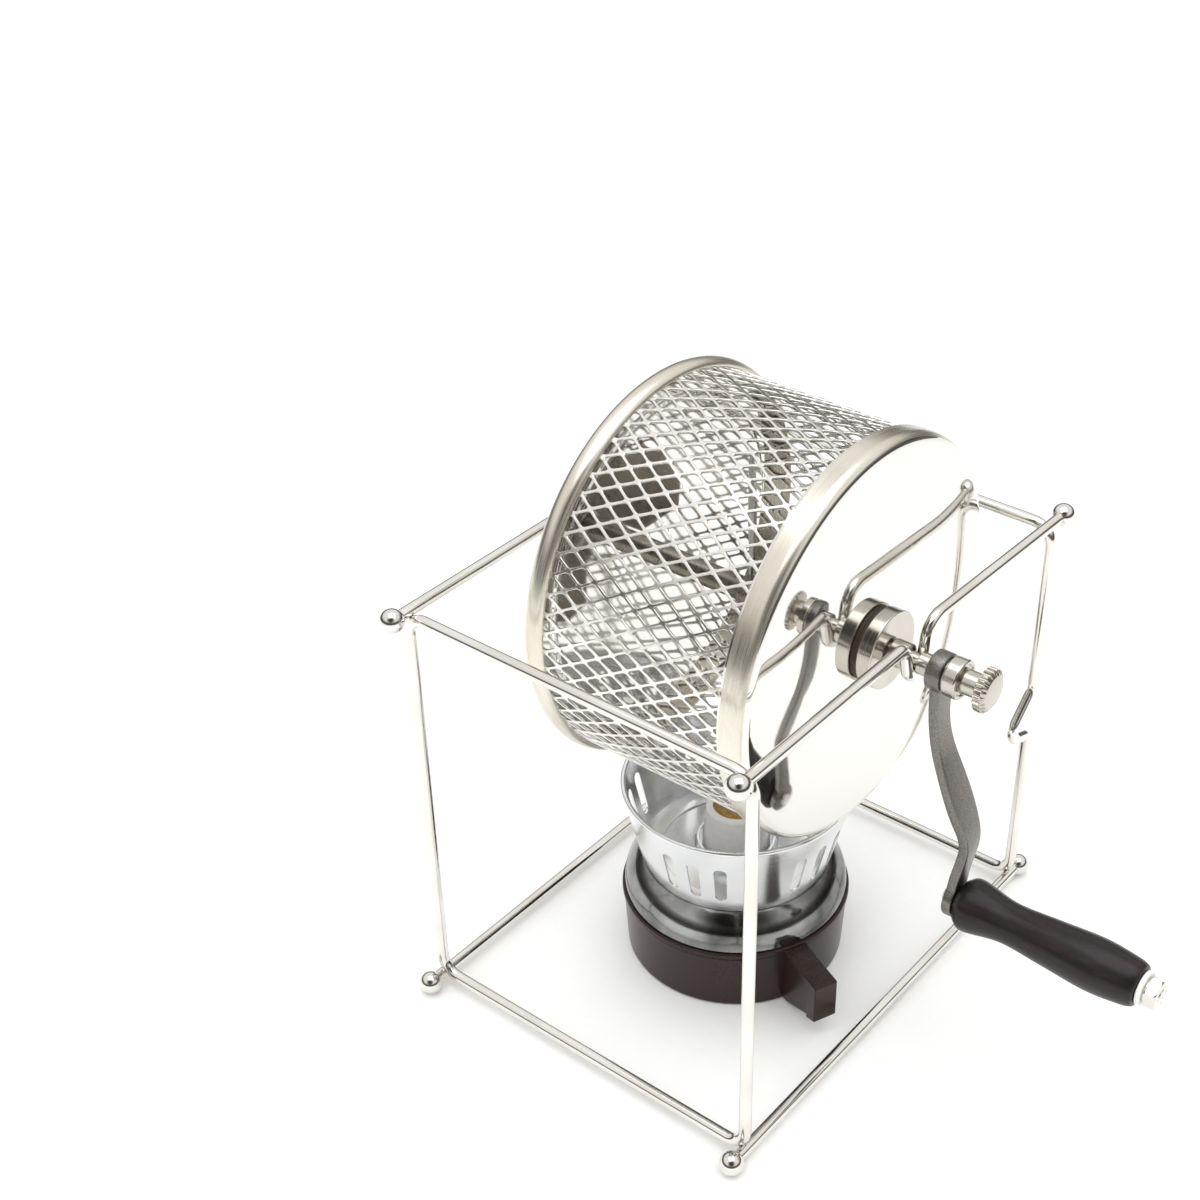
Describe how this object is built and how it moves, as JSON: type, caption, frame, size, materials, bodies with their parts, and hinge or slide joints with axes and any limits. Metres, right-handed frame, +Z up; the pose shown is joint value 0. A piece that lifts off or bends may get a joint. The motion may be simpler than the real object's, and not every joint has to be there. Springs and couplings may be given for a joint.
{
  "type": "stovetop coffee bean roaster",
  "caption": "Hand cranked mesh drum for roasting coffee beans, resting in a wire stand over a spirit burner with a slotted wind screen.",
  "frame": {"origin": "centre of the burner's underside, on the surface that the stand's ball feet rest on", "axes": "+X along the drum's axis towards the crank, -Y towards the front loop, +Z up"},
  "size_m": [0.2732, 0.2224, 0.2549],
  "materials": {
    "polished_wire": "bright drawn stainless wire",
    "polished_ball": "mirror polished steel ball",
    "mesh_steel": "bright expanded stainless mesh",
    "rim_steel": "brushed stainless band",
    "mirror_steel": "mirror polished stainless sheet",
    "turned_steel": "turned and plated steel",
    "inner_steel": "plain stainless inside the drum",
    "dark_washer": "dark heat proof washer",
    "cast_arm": "dark pewter grey cast steel, satin",
    "dark_wood": "very dark lacquered wood, satin",
    "white_nylon": "white nylon",
    "brown_plastic": "dark brown moulded plastic, semi gloss",
    "dark_tin": "dark grey burnished tin",
    "bright_aluminium": "bright spun aluminium",
    "white_glaze": "white glazed ceramic",
    "wick_fibre": "golden brown woven glass fibre"
  },
  "bodies": {
    "stand": {"front_loop": "polished_wire", "rear_loop": "polished_wire", "crank_side_top_rod": "polished_wire", "crank_side_bottom_rod": "polished_wire", "crank_side_front_foot_ball": "polished_ball", "crank_side_rear_foot_ball": "polished_ball", "crank_side_front_top_ball": "polished_ball", "crank_side_rear_top_ball": "polished_ball", "far_side_top_rod": "polished_wire", "far_side_bottom_rod": "polished_wire", "far_side_front_foot_ball": "polished_ball", "far_side_rear_foot_ball": "polished_ball", "far_side_front_top_ball": "polished_ball", "far_side_rear_top_ball": "polished_ball"},
    "drum": {"mesh_barrel": "mesh_steel", "rear_rim": "rim_steel", "rear_end_plate": "mirror_steel", "mouth_ring": "rim_steel", "drum_axle": "turned_steel", "rear_axle_sleeve": "inner_steel", "rear_paddle_collar": "inner_steel", "axle_spacer": "inner_steel", "front_paddle_collar": "inner_steel", "rear_paddle_up": "inner_steel", "rear_paddle_right": "inner_steel", "front_paddle_left": "inner_steel", "front_paddle_down": "inner_steel"},
    "crankset": {"lid": "mirror_steel", "lid_guide_tube": "turned_steel", "lid_washer": "dark_washer", "hub_disc": "turned_steel", "crank_shaft": "turned_steel", "crank_arm": "cast_arm", "grip_spindle": "turned_steel", "nylon_washer": "white_nylon", "end_nut": "turned_steel"},
    "arm_clamp": {"clamp_collar": "turned_steel"},
    "clamp_screw": {"thumbscrew": "turned_steel"},
    "handle": {"grip": "dark_wood"},
    "burner": {"burner_base": "brown_plastic", "spirit_tank": "dark_tin", "wick_collar": "bright_aluminium"},
    "screen": {"wind_screen": "bright_aluminium"},
    "wick_unit": {"wick_holder": "white_glaze", "wick": "wick_fibre"}
  },
  "joints": [
    {"name": "crank_turn", "type": "hinge", "parent": "stand", "child": "crankset", "pos_m": [0.0774, 0, 0.175], "axis": [1, 0, 0], "continuous": true},
    {"name": "drum_pull_off", "type": "slide", "parent": "crankset", "child": "drum", "axis": [-1, 0, 0], "range_m": [0, 0.03]},
    {"name": "grip_spin", "type": "hinge", "parent": "crankset", "child": "handle", "pos_m": [0.144, 0, 0.0759], "axis": [1, 0, 0], "continuous": true},
    {"name": "clamp_slide", "type": "slide", "parent": "crankset", "child": "arm_clamp", "axis": [1, 0, 0], "range_m": [0, 0.004]},
    {"name": "thumbscrew_turn", "type": "hinge", "parent": "arm_clamp", "child": "clamp_screw", "pos_m": [0.1, 0, 0.175], "axis": [1, 0, 0], "range_deg": [0, 1810]},
    {"name": "burner_slide", "type": "slide", "parent": "stand", "child": "burner", "axis": [0, 1, 0], "range_m": [-0.04, 0.04]},
    {"name": "screen_lift", "type": "slide", "parent": "burner", "child": "screen", "axis": [0, 0, 1], "range_m": [0, 0.01]},
    {"name": "wick_holder_lift", "type": "slide", "parent": "burner", "child": "wick_unit", "axis": [0, 0, 1], "range_m": [0, 0.02]}
  ],
  "couplings": [
    {"joint": "thumbscrew_turn", "follows": "clamp_slide", "rad_per_m": 7854}
  ]
}
